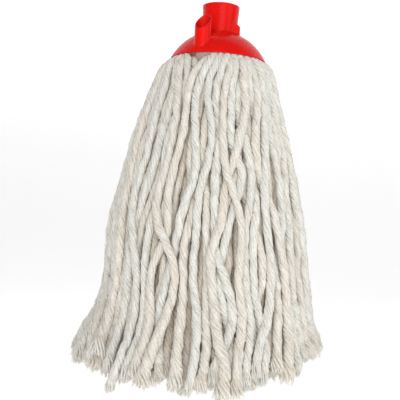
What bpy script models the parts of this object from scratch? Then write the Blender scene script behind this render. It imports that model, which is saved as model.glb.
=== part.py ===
"""String mop head: a red cap with a threaded handle socket, the retainer inside it, and its cotton yarns.

Metres, +Z up. The origin is the centre of the socket's mouth, and the yarns hang down from it. The front,
where the side tube stands, faces -Y. Twelve sectors of yarns swing out from the rim, each about its own hinge.
"""

import math

import bmesh
import bpy
from mathutils import Matrix, Vector

MM = 0.001
GAP = 0.3 * MM

# Socket, from its mouth at z = 0 down to where it meets the dome
MOUTH_RADIUS = 16.0 * MM
SOCKET_FOOT_RADIUS = 14.3 * MM
BORE_MOUTH_RADIUS = 12.4 * MM
BORE_FLOOR_RADIUS = 11.9 * MM
BORE_DEPTH = 39.0 * MM
BORE_CHAMFER = 0.8 * MM
MOUTH_ROUND = 0.6 * MM
MOUTH_ROUND_MIDDLE = 0.18 * MM
BOSS_RADIUS = 14.2 * MM
BOSS_BOTTOM = -41.5 * MM

# Handle thread inside the bore
THREAD_PITCH = 5.0 * MM
THREAD_TURNS = 2.5
THREAD_TOP = -9.0 * MM
THREAD_CREST_RADIUS = 10.7 * MM
THREAD_SUNK = 0.5 * MM
THREAD_ROOT_HALF = 1.3 * MM
THREAD_CREST_HALF = 0.5 * MM
THREAD_STEPS_PER_TURN = 20

# Dome: part of a sphere, cut off by the rim
DOME_RADIUS = 46.0 * MM
DOME_CENTRE_Z = -67.8 * MM
DOME_WALL = 2.2 * MM
RIM_Z = -47.9 * MM
DOME_ARC_STEPS = 9
CAP_SIDES = 48
CUTTER_OVERLAP = 2.0 * MM

# Side tube, an open tube with a slanted mouth that stands on the dome
TUBE_RADIUS = 6.9 * MM
TUBE_WALL = 1.4 * MM
TUBE_CENTRE = Vector((-14.3 * MM, -28.5 * MM, 0.0))
TUBE_MOUTH_Z = -20.1 * MM
TUBE_MOUTH_SLOPE = math.radians(46)
TUBE_SIDES = 24

# Gusset block on each side of the socket
GUSSET_OUT = 17.0 * MM
GUSSET_IN = 10.0 * MM
GUSSET_HALF_WIDTH = 10.5 * MM
GUSSET_TOP_IN = -12.4 * MM
GUSSET_TOP_OUT = -19.0 * MM
GUSSET_BOTTOM = -31.0 * MM

# Retainer, a cup that fits round the boss
RETAINER_RADIUS = 27.5 * MM
RETAINER_WALL = 2.2 * MM
RETAINER_TOP = -41.5 * MM
RETAINER_BOTTOM = -57.0 * MM
RETAINER_SLEEVE_TOP = -34.0 * MM
RETAINER_SLEEVE_WALL = 2.2 * MM
RETAINER_CORNER = 1.32 * MM
RETAINER_LIP = 0.88 * MM
ROOT_ARC_STEPS = 4

# Yarns
YARN_RADIUS = 3.5 * MM
YARN_CLAMPED_SCALE = 0.86
SECTORS = 12
YARNS_PER_SECTOR = 3
RIM_YARN_RADIUS = 38.0 * MM
SKIRT_SLOPE = 0.14
SKIRT_FLARE = 23.5 * MM
SKIRT_FLARE_DEPTH = 52.0 * MM
YARN_TOP = RIM_Z - 2 * GAP
YARN_BOTTOM = -311.0 * MM
YARN_UNEVENNESS = 8.0 * MM
END_WAVE_FAST = 2.4
END_WAVE_SLOW = 0.7
RIGHT_SIDE_SHORTER = 24.0 * MM
LEFT_SIDE_SHORTER = 9.0 * MM
SIDE_FOCUS = 4
YARN_STRAIGHT = 3.0 * MM
YARN_LEVELS = 13
YARN_LEVEL_CROWDING = 1.3
INNER_LAYER_THICKNESS = 14.0 * MM
INNER_LAYER_TOP_THICKNESS = 5.0 * MM
INNER_LAYER_BOTTOM = -308.0 * MM
INNER_LAYER_LEVELS = 6
LAYER_GAP = 0.8 * MM

# Each sector's hinge: where the yarns bend round the rim
HINGE_RADIUS = 42.0 * MM
HINGE_Z = RIM_Z - 2 * GAP

OBJECT_NAME = "string_mop_head"
CAP_RED = (0.78, 0.02, 0.015, 1.0)
INSERT_WHITE = (0.82, 0.78, 0.76, 1.0)
COTTON = (0.76, 0.74, 0.67, 1.0)
INNER_COTTON = (0.66, 0.60, 0.50, 1.0)


def clear_scene():
    for obj in list(bpy.data.objects):
        bpy.data.objects.remove(obj)


def new_collection(name):
    collection = bpy.data.collections.new(name)
    bpy.context.scene.collection.children.link(collection)
    return collection


def new_material(name, colour, roughness):
    material = bpy.data.materials.new(name)
    material.use_nodes = True
    shader = material.node_tree.nodes["Principled BSDF"]
    shader.inputs["Base Color"].default_value = colour
    shader.inputs["Roughness"].default_value = roughness
    shader.inputs["Metallic"].default_value = 0.0
    return material


def add_object(name, data, collection, material=None):
    obj = bpy.data.objects.new(name, data)
    collection.objects.link(obj)
    if material is not None:
        data.materials.append(material)
    return obj


def make_cutter(obj):
    obj.hide_render = True
    obj.display_type = "WIRE"
    return obj


def sphere_arc(radius, start_radius, end_radius, steps):
    """Points (r, z) on a sphere about the dome's centre, from one distance off the axis to another."""
    first = math.asin(start_radius / radius)
    last = math.asin(end_radius / radius)
    angles = [first + (last - first) * i / steps for i in range(steps + 1)]
    return [(radius * math.sin(a), DOME_CENTRE_Z + radius * math.cos(a)) for a in angles]


def rim_radius(sphere_radius):
    return math.sqrt(sphere_radius**2 - (RIM_Z - DOME_CENTRE_Z) ** 2)


def turned_object(name, profile, collection, material=None, sides=CAP_SIDES, closed=False):
    """A solid turned about Z from points (r, z), listed top to bottom along its outer side."""
    mesh = bpy.data.meshes.new(name)
    count = len(profile)
    edges = [(i, i + 1) for i in range(count - 1)]
    if closed:
        edges.append((count - 1, 0))
    mesh.from_pydata([(r, 0.0, z) for r, z in profile], edges, [])
    obj = add_object(name, mesh, collection, material)
    screw = obj.modifiers.new("Turn", "SCREW")
    screw.steps = sides
    screw.render_steps = sides
    screw.use_merge_vertices = True
    screw.merge_threshold = 0.00001
    screw.use_smooth_shade = False
    return obj


def add_boolean(obj, other, operation):
    cut = obj.modifiers.new(f"{operation.title()} {other.name}", "BOOLEAN")
    cut.operation = operation
    cut.object = other
    cut.solver = "EXACT"


def cap_outside_profile():
    """The cap as if it were solid: socket, then dome, then a flat underside at the rim."""
    return [
        (0.0, 0.0),
        (MOUTH_RADIUS - MOUTH_ROUND, 0.0),
        (MOUTH_RADIUS - MOUTH_ROUND_MIDDLE, -MOUTH_ROUND_MIDDLE),
        (MOUTH_RADIUS, -MOUTH_ROUND),
        *sphere_arc(DOME_RADIUS, SOCKET_FOOT_RADIUS, rim_radius(DOME_RADIUS), DOME_ARC_STEPS),
        (0.0, RIM_Z),
    ]


def cap_cavity_profile():
    """What is hollow under the dome: everything inside its wall but the boss round the bore."""
    inner = DOME_RADIUS - DOME_WALL
    below = RIM_Z - CUTTER_OVERLAP
    return [
        *sphere_arc(inner, BOSS_RADIUS, rim_radius(inner), DOME_ARC_STEPS),
        (rim_radius(inner), below),
        (0.0, below),
        (0.0, BOSS_BOTTOM),
        (BOSS_RADIUS, BOSS_BOTTOM),
    ]


def bore_profile():
    chamfered = BORE_MOUTH_RADIUS + BORE_CHAMFER
    return [
        (0.0, CUTTER_OVERLAP),
        (chamfered, CUTTER_OVERLAP),
        (chamfered, 0.0),
        (BORE_MOUTH_RADIUS, -BORE_CHAMFER),
        (BORE_FLOOR_RADIUS, -BORE_DEPTH),
        (0.0, -BORE_DEPTH),
    ]


def side_tube(collection):
    """An open pipe whose top slants down away from the socket; the dome closes its foot."""
    mesh = bpy.data.meshes.new("side_tube")
    outline = bmesh.new()
    bmesh.ops.create_cone(
        outline,
        cap_ends=False,
        segments=TUBE_SIDES,
        radius1=TUBE_RADIUS,
        radius2=TUBE_RADIUS,
        depth=1.0,
    )
    outward = TUBE_CENTRE.normalized()
    for vert in outline.verts:
        flat = Vector((vert.co.x, vert.co.y, 0.0))
        top = TUBE_MOUTH_Z - flat.dot(outward) * math.tan(TUBE_MOUTH_SLOPE)
        vert.co = TUBE_CENTRE + flat + Vector((0.0, 0.0, top if vert.co.z > 0 else RIM_Z + MM))
    outline.to_mesh(mesh)
    outline.free()
    obj = make_cutter(add_object("side_tube", mesh, collection))
    wall = obj.modifiers.new("Wall", "SOLIDIFY")
    wall.thickness = TUBE_WALL
    wall.offset = -1.0
    wall.use_even_offset = True
    return obj


def gusset(collection, side):
    """A block against the socket whose top slopes down outwards; side is 1 for +X and -1 for -X."""
    mesh = bpy.data.meshes.new("gusset")
    block = bmesh.new()
    bmesh.ops.create_cube(block, size=2.0)
    for vert in block.verts:
        outer = vert.co.x > 0
        x = GUSSET_OUT if outer else GUSSET_IN
        top = GUSSET_TOP_OUT if outer else GUSSET_TOP_IN
        z = top if vert.co.z > 0 else GUSSET_BOTTOM
        vert.co = Vector((x, vert.co.y * GUSSET_HALF_WIDTH, z))
    block.transform(Matrix.Rotation(0.0 if side > 0 else math.pi, 4, "Z"))
    block.to_mesh(mesh)
    block.free()
    return make_cutter(add_object("gusset_right" if side > 0 else "gusset_left", mesh, collection))


def handle_thread(collection):
    """The helical rib inside the bore, a trapezoid turned and lowered round Z."""
    mesh = bpy.data.meshes.new("handle_thread")
    wall = BORE_FLOOR_RADIUS + THREAD_SUNK
    corners = [
        (wall, THREAD_ROOT_HALF),
        (wall, -THREAD_ROOT_HALF),
        (THREAD_CREST_RADIUS, -THREAD_CREST_HALF),
        (THREAD_CREST_RADIUS, THREAD_CREST_HALF),
    ]
    start = THREAD_TOP - THREAD_PITCH * THREAD_TURNS
    rib = bmesh.new()
    steps = int(THREAD_STEPS_PER_TURN * THREAD_TURNS)
    rings = []
    for step in range(steps + 1):
        turn = step / THREAD_STEPS_PER_TURN
        spin = Matrix.Rotation(turn * 2 * math.pi, 4, "Z")
        height = start + turn * THREAD_PITCH
        rings.append([rib.verts.new(spin @ Vector((r, 0.0, height + z))) for r, z in corners])
    for lower, upper in zip(rings, rings[1:]):
        for i in range(len(corners)):
            after = (i + 1) % len(corners)
            rib.faces.new((lower[i], upper[i], upper[after], lower[after]))
    rib.faces.new(rings[0])
    rib.faces.new(reversed(rings[-1]))
    bmesh.ops.recalc_face_normals(rib, faces=rib.faces)
    rib.to_mesh(mesh)
    rib.free()
    return make_cutter(add_object("handle_thread", mesh, collection))


def make_cap(parts, cutters, material):
    cap = turned_object("socket_cap", cap_outside_profile(), parts, material)
    add_boolean(cap, side_tube(cutters), "UNION")
    for side in (1, -1):
        add_boolean(cap, gusset(cutters, side), "UNION")
    cavity = make_cutter(turned_object("dome_cavity", cap_cavity_profile(), cutters, closed=True))
    add_boolean(cap, cavity, "DIFFERENCE")
    bore = make_cutter(turned_object("handle_bore", bore_profile(), cutters))
    add_boolean(cap, bore, "DIFFERENCE")
    add_boolean(cap, handle_thread(cutters), "UNION")
    return cap


def make_retainer(parts, material):
    """A cup open upwards, with a sleeve that snaps round the boss."""
    floor_top = RETAINER_BOTTOM + RETAINER_WALL
    sleeve = BOSS_RADIUS + GAP
    profile = [
        (RETAINER_RADIUS - RETAINER_WALL, RETAINER_TOP),
        (RETAINER_RADIUS - RETAINER_LIP, RETAINER_TOP),
        (RETAINER_RADIUS, RETAINER_TOP - RETAINER_CORNER),
        (RETAINER_RADIUS, RETAINER_BOTTOM + RETAINER_CORNER),
        (RETAINER_RADIUS - RETAINER_CORNER, RETAINER_BOTTOM),
        (0.0, RETAINER_BOTTOM),
        (0.0, floor_top),
        (sleeve, floor_top),
        (sleeve, RETAINER_SLEEVE_TOP),
        (sleeve + RETAINER_SLEEVE_WALL, RETAINER_SLEEVE_TOP),
        (sleeve + RETAINER_SLEEVE_WALL, floor_top),
        (RETAINER_RADIUS - RETAINER_WALL, floor_top),
    ]
    return turned_object("yarn_retainer", profile, parts, material, closed=True)


def make_clamped_roots(parts, material):
    """The packed yarn ends between the retainer's wall and the dome."""
    outer = DOME_RADIUS - DOME_WALL - GAP
    inner = RETAINER_RADIUS + GAP
    profile = [
        *sphere_arc(outer, inner, rim_radius(outer), ROOT_ARC_STEPS),
        (inner, RIM_Z),
    ]
    return turned_object("clamped_yarn_roots", profile, parts, material, closed=True)


def skirt_radius(z):
    """How far from the axis the middle of the outer yarns hangs at height z."""
    depth = max(0.0, YARN_TOP - YARN_STRAIGHT - z)
    flare = SKIRT_FLARE * (1.0 - math.exp(-depth / SKIRT_FLARE_DEPTH))
    return RIM_YARN_RADIUS + SKIRT_SLOPE * depth + flare


def yarn_heights(bottom, levels):
    """Heights down a yarn, closest together near the rim where it flares."""
    straight_end = YARN_TOP - YARN_STRAIGHT
    drop = bottom - straight_end
    return [YARN_TOP, *(straight_end + drop * (i / levels) ** YARN_LEVEL_CROWDING for i in range(levels + 1))]


def yarn_scale(level):
    """The clamp pinches the first two points of a yarn."""
    return YARN_CLAMPED_SCALE if level < 2 else 1.0


def side_lift(azimuth):
    """The skirt ends higher at its two sides than at its front and back, most of all on the right, +X."""
    right = (0.5 + 0.5 * math.cos(azimuth)) ** SIDE_FOCUS
    left = (0.5 - 0.5 * math.cos(azimuth)) ** SIDE_FOCUS
    return RIGHT_SIDE_SHORTER * right + LEFT_SIDE_SHORTER * left


def yarn_end_z(index):
    """Cut ends are uneven: neighbours differ by up to the unevenness either way."""
    azimuth = -math.pi / 2 + (index - 1) * 2 * math.pi / (SECTORS * YARNS_PER_SECTOR)
    wave = math.sin(END_WAVE_FAST * index) * math.cos(END_WAVE_SLOW * index)
    return YARN_BOTTOM + side_lift(azimuth) + YARN_UNEVENNESS * wave


def hinge_place(sector):
    """The sector's middle azimuth, and its hinge's point. Sector 0 faces the front, -Y."""
    azimuth = -math.pi / 2 + sector * 2 * math.pi / SECTORS
    outward = Vector((math.cos(azimuth), math.sin(azimuth), 0.0))
    return azimuth, outward * HINGE_RADIUS + Vector((0.0, 0.0, HINGE_Z))


def make_hinge(sector, parts):
    azimuth, place = hinge_place(sector)
    hinge = bpy.data.objects.new(f"yarn_hinge_{sector + 1:02d}", None)
    hinge.location = place
    hinge.rotation_euler = (0.0, 0.0, azimuth)
    parts.objects.link(hinge)
    return hinge


def in_hinge_frame(azimuth, radius, z):
    """A point given round the sector's middle azimuth, seen from the sector's hinge."""
    return Vector((radius * math.cos(azimuth) - HINGE_RADIUS, radius * math.sin(azimuth), z - HINGE_Z))


def make_outer_yarn(index, azimuth, hinge, parts, material):
    """A round strand down the outside of the skirt, pinched where the rim clamps it."""
    curve = bpy.data.curves.new(f"outer_yarn_{index + 1:02d}", "CURVE")
    curve.dimensions = "3D"
    curve.bevel_depth = YARN_RADIUS
    curve.bevel_resolution = 2
    curve.use_fill_caps = True
    spline = curve.splines.new("POLY")
    heights = yarn_heights(yarn_end_z(index), YARN_LEVELS)
    spline.points.add(len(heights) - 1)
    for i, (point, z) in enumerate(zip(spline.points, heights)):
        point.co = (*in_hinge_frame(azimuth, skirt_radius(z), z), 1.0)
        point.radius = yarn_scale(i)
    yarn = add_object(curve.name, curve, parts, material)
    yarn.parent = hinge
    return yarn


def make_inner_yarns(sector, hinge, parts, material):
    """The bundle behind a sector's outer yarns, one plain block between two radial planes."""
    name = f"inner_yarns_{sector + 1:02d}"
    half_angle = math.pi / SECTORS
    block = bmesh.new()
    rings = []
    azimuth, _ = hinge_place(sector)
    heights = yarn_heights(INNER_LAYER_BOTTOM + side_lift(azimuth), INNER_LAYER_LEVELS)
    for level, z in enumerate(heights):
        share = max(0, level - 1) / INNER_LAYER_LEVELS
        outer = skirt_radius(z) - YARN_RADIUS * yarn_scale(level) - LAYER_GAP
        thickness = INNER_LAYER_TOP_THICKNESS + (INNER_LAYER_THICKNESS - INNER_LAYER_TOP_THICKNESS) * share
        ring = []
        for radius, side in ((outer - thickness, -1), (outer, -1), (outer, 1), (outer - thickness, 1)):
            angle = side * (half_angle - math.asin(GAP / radius))
            ring.append(block.verts.new(in_hinge_frame(angle, radius, z)))
        rings.append(ring)
    for upper, lower in zip(rings, rings[1:]):
        for i in range(4):
            after = (i + 1) % 4
            block.faces.new((upper[i], lower[i], lower[after], upper[after]))
    block.faces.new(reversed(rings[0]))
    block.faces.new(rings[-1])
    bmesh.ops.recalc_face_normals(block, faces=block.faces)
    mesh = bpy.data.meshes.new(name)
    block.to_mesh(mesh)
    block.free()
    bundle = add_object(name, mesh, parts, material)
    bundle.parent = hinge
    return bundle


def make_yarns(parts):
    cotton = new_material("cotton_yarn", COTTON, 0.95)
    inner_cotton = new_material("inner_cotton_yarn", INNER_COTTON, 0.95)
    for sector in range(SECTORS):
        hinge = make_hinge(sector, parts)
        for place in range(YARNS_PER_SECTOR):
            offset = place - (YARNS_PER_SECTOR - 1) / 2
            azimuth = offset * 2 * math.pi / (SECTORS * YARNS_PER_SECTOR)
            make_outer_yarn(sector * YARNS_PER_SECTOR + place, azimuth, hinge, parts, cotton)
        make_inner_yarns(sector, hinge, parts, inner_cotton)


def main():
    clear_scene()
    parts = new_collection(OBJECT_NAME)
    cutters = new_collection("cutters")
    make_cap(parts, cutters, new_material("cap_red_plastic", CAP_RED, 0.28))
    make_retainer(parts, new_material("retainer_white_plastic", INSERT_WHITE, 0.4))
    make_clamped_roots(parts, new_material("clamped_cotton", INNER_COTTON, 0.95))
    make_yarns(parts)


main()
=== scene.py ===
"""The looks of the string mop head: its red cap, its retainer and 192 twisted cotton yarns.

Metres, +Z up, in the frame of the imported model. The front faces -Y. Yarns are laid out together, level by
level, so that they share the skirt without passing through each other, and each is then spun as a mesh.
"""

import math

import bmesh
import bpy
import numpy as np
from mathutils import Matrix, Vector


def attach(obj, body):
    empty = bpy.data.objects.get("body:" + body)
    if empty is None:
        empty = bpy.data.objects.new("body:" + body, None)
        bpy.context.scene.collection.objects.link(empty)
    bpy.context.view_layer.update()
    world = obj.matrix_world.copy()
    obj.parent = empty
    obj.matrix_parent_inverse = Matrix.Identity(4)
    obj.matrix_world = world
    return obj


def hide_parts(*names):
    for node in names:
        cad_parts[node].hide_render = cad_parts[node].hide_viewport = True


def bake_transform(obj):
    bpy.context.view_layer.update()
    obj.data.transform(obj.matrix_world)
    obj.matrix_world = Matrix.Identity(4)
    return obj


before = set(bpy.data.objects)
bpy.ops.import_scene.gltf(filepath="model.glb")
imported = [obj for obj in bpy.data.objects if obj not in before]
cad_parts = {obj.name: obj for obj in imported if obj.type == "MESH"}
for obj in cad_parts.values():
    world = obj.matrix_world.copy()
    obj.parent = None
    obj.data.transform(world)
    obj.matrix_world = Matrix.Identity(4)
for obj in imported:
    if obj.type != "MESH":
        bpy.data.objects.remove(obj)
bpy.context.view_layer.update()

MM = 0.001
TOLERANCE = 0.01 * MM
TINY = 1e-12
SEED = 20

# Camera and stage
AXIS_DISTANCE = 616 * MM
CAMERA_SIDE = -8.5 * MM
CAMERA_HEIGHT = -168 * MM
CAMERA_ROLL = math.radians(3.4)
LENS = 64.0
SENSOR_WIDTH = 36.0
SIGHT_LIMIT = 20.0
FLOOR_Z = -450 * MM
STAGE_HALF = 8.0
STAGE_BACK = 1.1
SWEEP_RADIUS = 0.7
SWEEP_STEPS = 24

# Lights: name, place, what it points at, width and height, watts
WORLD_STRENGTH = 0.13
LIGHTS = (
    ("front", (0.45, -2.0, 0.75), (0, 0, -0.12), (1.4, 1.4), 2.2),
    ("fill", (0.2, -1.2, -0.08), (0, 0, -0.08), (0.7, 0.5), 2.9),
    ("right", (1.5, -0.9, 0.6), (0, 0, -0.15), (1.0, 1.4), 5.0),
    ("top", (-0.2, -1.0, 0.7), (0, 0, -0.08), (0.7, 0.5), 6.0),
    ("low", (-0.1, -0.8, -0.4), (0, 0, -0.33), (1.0, 0.08), 0.4),
)

# Cap, as part.py has it
MOUTH_RADIUS = 16.0 * MM
SOCKET_FOOT_RADIUS = 14.3 * MM
BORE_MOUTH_RADIUS = 12.4 * MM
BORE_FLOOR_RADIUS = 11.9 * MM
BORE_DEPTH = 39.0 * MM
BORE_CHAMFER = 0.8 * MM
BOSS_RADIUS = 14.2 * MM
BOSS_BOTTOM = -41.5 * MM
DOME_RADIUS = 46.0 * MM
DOME_CENTRE_Z = -67.8 * MM
DOME_WALL = 2.2 * MM
RIM_Z = -47.9 * MM
TUBE_RADIUS = 6.9 * MM
TUBE_WALL = 1.4 * MM
TUBE_CENTRE = Vector((-14.3 * MM, -28.5 * MM, 0.0))
TUBE_MOUTH_Z = -20.1 * MM
TUBE_FOOT_Z = RIM_Z + 1.0 * MM
TUBE_MOUTH_SLOPE = math.radians(46)
GUSSET_OUT = 17.0 * MM
GUSSET_IN = 10.0 * MM
GUSSET_HALF_WIDTH = 10.5 * MM
GUSSET_TOP_IN = -12.4 * MM
GUSSET_TOP_OUT = -19.0 * MM
GUSSET_BOTTOM = -31.0 * MM
THREAD_PITCH = 5.0 * MM
THREAD_TURNS = 2.5
THREAD_TOP = -9.0 * MM
THREAD_CREST_RADIUS = 10.7 * MM
THREAD_SUNK = 0.5 * MM
THREAD_ROOT_HALF = 1.3 * MM
THREAD_CREST_HALF = 0.5 * MM

# Fineness of the moulding
TURN_STEPS = 144
ARC_STEPS = 28
VOXEL = 0.42 * MM
SMOOTHING = 0.5
SMOOTHING_PASSES = 5
CUT_CLEARANCE = 2.0 * MM
CORNER_ANGLE = math.radians(40)
CORNER_STEPS = 4

# Retainer, as part.py has it
RETAINER_RADIUS = 27.5 * MM
RETAINER_WALL = 2.2 * MM
RETAINER_TOP = -41.5 * MM
RETAINER_BOTTOM = -57.0 * MM
RETAINER_SLEEVE_TOP = -34.0 * MM
RETAINER_ROUNDING = 0.45 * RETAINER_WALL
SLEEVE_GAP = 0.3 * MM

# Yarn routes: close to part.py's skirt and cut ends
YARN_RADIUS = 3.5 * MM
SECTORS = 12
RIM_YARN_RADIUS = 38.0 * MM
SKIRT_SLOPE = 0.14
SKIRT_FLARE = 23.5 * MM
SKIRT_FLARE_DEPTH = 52.0 * MM
SKIRT_TOP = -51.5 * MM
YARN_BOTTOM = -311.0 * MM
YARN_UNEVENNESS = 7.0 * MM
END_WAVE_FAST = 2.4
END_WAVE_SLOW = 0.7
RIGHT_SIDE_SHORTER = 24.0 * MM
LEFT_SIDE_SHORTER = 5.0 * MM
SIDE_FOCUS = 4
END_SCATTER = 2.5 * MM
INNER_UNEVENNESS = 0.5
SHORT_SHARE = 0.12
SHORT_BY = (8.0 * MM, 20.0 * MM)

# What hanging adds to that: (height, reach up and down, how far out), on each side and all round
SHOULDER = (-58.0 * MM, 16.0 * MM, 3.0 * MM)
RIGHT_HOLLOW = (-115.0 * MM, 45.0 * MM, -3.0 * MM)
LEFT_BULGE = (-198.0 * MM, 36.0 * MM, 2.5 * MM)
LEFT_HOLLOW = (-246.0 * MM, 34.0 * MM, -5.0 * MM)
FLARE_TOP = -260.0 * MM
FLARE_LENGTH = 38.0 * MM
FLARE_ALL = 2.5 * MM
FLARE_LEFT = 6.5 * MM
FLARE_RIGHT = 3.5 * MM
FLARE_FOCUS = 3
LUMP = 0.6 * MM
LUMP_PHASE = 1.1
LUMP_LENGTH = 35.0 * MM
LUMPS_REACH = 60.0 * MM

# The clamp, where yarns are pressed flat between the retainer and the dome
CLAMP_TOP = -41.1 * MM
YARN_START = -45.1 * MM
CLAMP_FREE = -58.0 * MM
CLAMP_LENGTH = 12.0 * MM
LEVEL_STEP = 4.0 * MM
LEVELS = 72
FINE_STEPS = 3
SLOPE_SHARE = 0.5
CLAMP_MARGIN = 1.5 * MM
OUTER_CLAMP_SLOPE = 0.62
INNER_CLAMP_SLOPE = 0.25

# Below the rim, where yarns bend, open out, wander, drift and begin to follow their hinge
RIM_BEND = 7.0 * MM
LAYERS_OPEN = 75.0 * MM
FREE_BELOW = 5.0 * MM
FREE_LENGTH = 80.0 * MM
DRIFT_TOP = -65.0 * MM
DRIFT_LENGTH = 240.0 * MM
SMALLEST_RADIUS = 30.0 * MM

# The parting of the yarns under the rim, front left
PARTING_AZIMUTH = math.radians(-113)
PARTING_SHIFT = math.radians(16)
PARTING_REACH = math.radians(45)
PARTING_TOP = -50.5 * MM
PARTING_LENGTH = 25.0 * MM
INNER_PARTING_LENGTH = 14.0 * MM
PARTING_FAN = 6.5 * MM
PARTING_FAN_REACH = math.radians(60)
PARTING_FAN_LENGTH = 120.0 * MM

# How loosely the yarns hang: sideways wander as (amplitude, shortest wave, longest wave)
SIDE_WAVES = ((4.6 * MM, 130 * MM, 280 * MM), (2.0 * MM, 60 * MM, 120 * MM), (0.7 * MM, 26 * MM, 50 * MM))
DEPTH_WAVES = (1.5 * MM, 50 * MM, 130 * MM)
DRIFT = 5.0 * MM
CLUMPING = 6.0 * MM
CLUMPS = 51
WAVES_ADDED = 3
WAVES_PEAK = 1.7
STRAY_SHARE = 0.15
STRAY_DRIFT = (14.0 * MM, 24.0 * MM)
STRAY_PROUD = 3.0 * MM
SURFACE_SLACK = 0.7 * MM
INNER_LIVELINESS = 0.35
LIVELY_LAYERS = 2.0

# How the yarns settle against each other
SWEEPS = 180
IRONING_SWEEPS = 4
CONTACT = 0.97
LAP = 2.6 * MM
LARGEST_PUSH = 0.8 * MM
STIFFNESS = 0.6
HOMING = 0.012
NEIGHBOUR_ANGLE = math.radians(50)
HELD_BELOW_RIM = 3.0 * MM
LET_GO_LENGTH = 14.0 * MM

# Twist and section of a yarn
PLIES = 6
ROOT_POINTS_PER_PLY = 4
TWIST_PITCH = 27.0 * MM
GROOVE_DEPTH = 0.17
SPUN_RADIUS = 3.3 * MM
FIBRE_LAY = 0.55
LOBE_SHARPNESS = 0.8
ROOT_TURN = 0.4

# Unevenness of a yarn; a wave is (amplitude, length of one radian)
TWIST_VARIETY = (0.88, 1.15)
TWIST_WAVES = ((0.24, 9.0 * MM), (0.14, 31.0 * MM))
GIRTH_VARIETY = (0.93, 1.06)
GIRTH_WAVES = ((0.05, 17.0 * MM), (0.03, 5.7 * MM))
PLY_VARIETY = 0.035
PLY_WAVE = 0.05
PLY_WAVE_LENGTHS = (4.0 * MM, 9.0 * MM)
GROOVE_WAVE = (0.5, 11.0 * MM)
# Painted shade: how dark the yarn's end faces and the grooves between its plies are painted, and how much
# the grooves' shade varies
END_PAINTED_SHADE = 0.5
GROOVE_PAINTED_SHADE = 0.65
GROOVE_PAINTED_SHADE_VARIETY = 0.7
CROWDING_WAVES = ((0.13, 19.0 * MM), (0.07, 14.0 * MM))
WOBBLE = 0.22 * MM
WOBBLE_START = 12.0 * MM
WOBBLE_GROWTH = 20.0 * MM
WOBBLE_LENGTHS = (2.6 * MM, 3.3 * MM)

# Scales of the noise in the materials, per metre
FLOW_SCALE = 60.0
SCUFF_SCALE = 420.0
PEEL_SCALE = 900.0
HAZE_SCALE = 140.0
GRAIN_SCALE = 1500.0
PATCH_SCALE = 45.0
FUZZ_SCALE = 1400.0

# Marks that darken the cotton along its fibres: stretch, scale, detail and roughness of the noise, where
# its ramp starts and how dark it is there, where the ramp ends, and how strongly the marks show
STREAKS = (0.09, 2600.0, 3.0, 0.6, 0.25, (0.84, 0.83, 0.81), 0.65, 0.8)
SLIVERS = (0.13, 760.0, 2.0, 0.55, 0.3, (0.76, 0.745, 0.70), 0.55, 0.85)
FLECKS = (0.45, 1150.0, 2.0, 0.6, 0.30, (0.70, 0.69, 0.66), 0.50, 0.7)
# Painted shade: the colours and strength that make the cotton browner in the grooves between plies and
# deeper inside the skirt
GROOVE_SHADE = (0.60, 0.54, 0.46)
INSIDE_SHADE = (0.76, 0.64, 0.50)
SHADE_STRENGTH = 0.45
TINT_STRENGTH = 0.55

# Unravelled ends
BRUSH_LENGTH = 18.0 * MM
BRUSH_CORE_END = 8.0 * MM
END_UNTWIST = 0.8
END_TAPER = 0.5
END_GROOVES = 0.3
# Brushes: strands, least and most that they spread, as a share, and how far out they may reach
OUTER_BRUSH = (24, 0.35, 0.75, 4.9 * MM)
INNER_BRUSH = (16, 0.7, 1.5, 6.8 * MM)
GOLDEN_ANGLE = math.radians(137.5)
STRANDS_WITHIN = 0.8
STRAND_FLARE = 1.1
STRAND_SIDES = 5
STRAND_ACROSS = (0.31, 0.95, 0.02)
STRAND_STRAY = 0.25
STRAND_WAVE = (0.25 * MM, 1.8 * MM)
STRAND_WAVE_START = 6.28  # anywhere in nearly a full turn, in radians
STRAND_EXTRA = (-2.5 * MM, 0.4 * MM)
STRAND_VARIETY = (0.9, 1.2)
STRAND_TAPER = 0.45
STRAND_ROOT = 0.3
STRAND_TIP = 0.4
BRUSH_LEAN = 0.5 * MM
BRUSH_ROUNDING = 3.0 * MM

# Fine fibres that leave the strands' ends
FRAY_FIBRES = 4
FRAY_SIDES = 4
FRAY_POINTS = 5
FRAY_CURL = 1.6
FRAY_START = 2.2 * MM
FRAY_OFF_CENTRE = 0.35 * MM
FRAY_LENGTHS = (2.4 * MM, 3.9 * MM)
FRAY_SPREAD = (0.2 * MM, 0.8 * MM)
FRAY_RADII = (0.16 * MM, 0.32 * MM)
FRAY_TAPER = 0.6

# Loose fibres along a yarn's side
OUTER_FUZZ = 22
INNER_FUZZ = 6
FUZZ_CLEAR = (12, 8)
FUZZ_SIDES = 3
FUZZ_POINTS = 6
FUZZ_LENGTHS = (2.5 * MM, 8.0 * MM)
FUZZ_ROOT = 0.9 * YARN_RADIUS
FUZZ_STAND = (0.3 * MM, 1.3 * MM)
FUZZ_SWAY = 2.4 * MM
FUZZ_CURL = 1.5
FUZZ_RADIUS = 0.11 * MM
FUZZ_TIP_RADIUS = 0.03 * MM
FUZZ_TINT = 0.2

# Painted shade: how much darker yarns are painted inwards, less so near their ends, on their roots and at
# the bases of their brushes
SHADE_START = 1.5 * MM
SHADE_DEPTH = 9.0 * MM
ENDS_LIT = 0.6
ENDS_LIT_TOP = -262.0 * MM
ENDS_LIT_LENGTH = 34.0 * MM
ROOT_SHADE = 0.6
BRUSH_SHADE = 0.5

# Yarns loosen and thicken towards their ends
LOOSE_TOP = -225.0 * MM
LOOSE_LENGTH = 50.0 * MM
OUTER_LOOSENING = 0.1
INNER_LOOSENING = 0.3

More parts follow.
